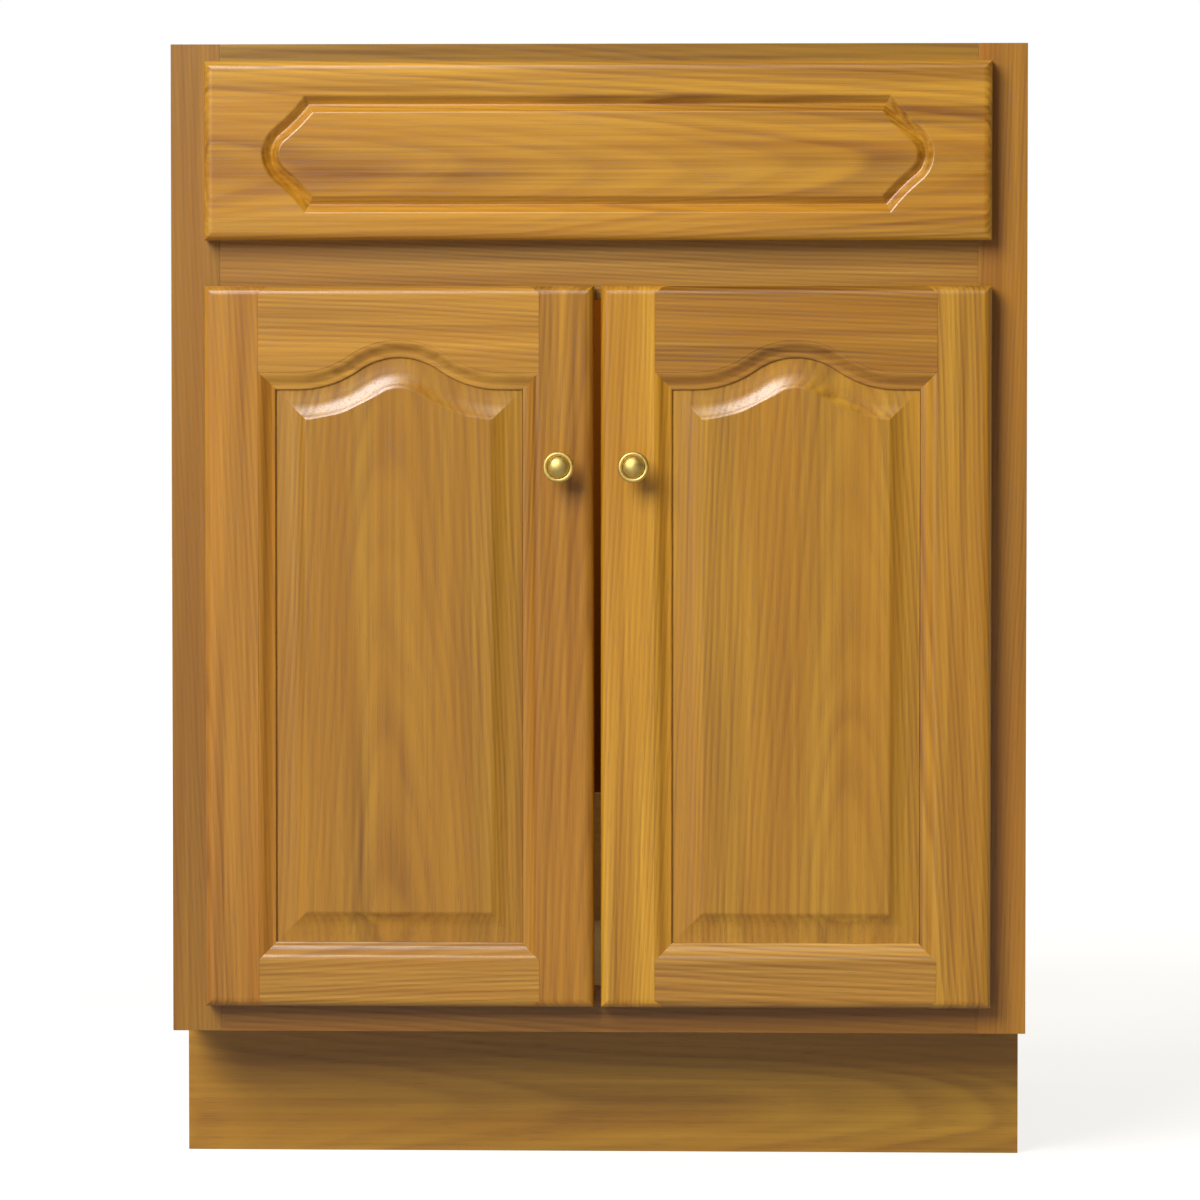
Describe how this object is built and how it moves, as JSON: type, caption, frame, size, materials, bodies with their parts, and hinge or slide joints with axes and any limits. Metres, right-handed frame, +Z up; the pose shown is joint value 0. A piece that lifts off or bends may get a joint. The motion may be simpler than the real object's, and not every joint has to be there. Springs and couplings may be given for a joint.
{
  "type": "vanity base cabinet",
  "caption": "Bathroom vanity base cabinet: oak face frame, fixed false front over hinged arched raised-panel doors with brass knobs, open top and back, toe kick.",
  "frame": {"origin": "on the floor, under the middle of the whole cabinet with its knobs", "axes": "+X to the right seen from the front, -Y out of the front and the doors, +Z up"},
  "size_m": [0.6096, 0.5794, 0.8001],
  "materials": {
    "oak": "golden oak with a satin clear coat and open grain",
    "oak_veneer_board": "particle board with an oak-grained face outside and a pale face inside",
    "interior_board": "pale plain board and unfinished wood",
    "knob_brass": "bright rim and satin domed face",
    "hinge_steel": "nickel plated",
    "screw_steel": "zinc plated",
    "bumper_rubber": "soft and clear"
  },
  "bodies": {
    "cabinet": {"left_frame_stile": "oak", "right_frame_stile": "oak", "top_frame_rail": "oak", "middle_frame_rail": "oak", "bottom_frame_rail": "oak", "left_side_panel": "oak_veneer_board", "right_side_panel": "oak_veneer_board", "bottom_panel": "interior_board", "toe_kick_board": "oak", "front_toe_rail": "interior_board", "rear_toe_rail": "interior_board", "lower_back_rail": "interior_board", "upper_back_rail": "interior_board", "rail_dowels": "interior_board", "front_left_brace": "interior_board", "front_right_brace": "interior_board", "back_left_brace": "interior_board", "back_right_brace": "interior_board", "brace_screws": "screw_steel", "false_front": "oak", "left_front_cleat": "interior_board", "right_front_cleat": "interior_board", "false_front_screws": "screw_steel", "cleat_screws": "screw_steel", "left_upper_hinge_arm": "hinge_steel", "left_lower_hinge_arm": "hinge_steel", "right_upper_hinge_arm": "hinge_steel", "right_lower_hinge_arm": "hinge_steel", "hinge_arm_screws": "screw_steel"},
    "left_door": {"left_door_hinge_stile": "oak", "left_door_lock_stile": "oak", "left_door_top_rail": "oak", "left_door_bottom_rail": "oak", "left_door_panel": "oak", "left_knob": "knob_brass", "left_knob_screw": "screw_steel", "left_upper_hinge_cup": "hinge_steel", "left_lower_hinge_cup": "hinge_steel", "left_hinge_pins": "hinge_steel", "left_cup_screws": "screw_steel", "left_door_bumpers": "bumper_rubber"},
    "right_door": {"right_door_hinge_stile": "oak", "right_door_lock_stile": "oak", "right_door_top_rail": "oak", "right_door_bottom_rail": "oak", "right_door_panel": "oak", "right_knob": "knob_brass", "right_knob_screw": "screw_steel", "right_upper_hinge_cup": "hinge_steel", "right_lower_hinge_cup": "hinge_steel", "right_hinge_pins": "hinge_steel", "right_cup_screws": "screw_steel", "right_door_bumpers": "bumper_rubber"}
  },
  "joints": [
    {"name": "left_door_hinge", "type": "hinge", "parent": "cabinet", "child": "left_door", "pos_m": [-0.2723, -0.2552, 0.3715], "axis": [0, 0, -1], "range_deg": [0, 100]},
    {"name": "right_door_hinge", "type": "hinge", "parent": "cabinet", "child": "right_door", "pos_m": [0.2723, -0.2552, 0.3715], "axis": [0, 0, 1], "range_deg": [0, 100]}
  ]
}
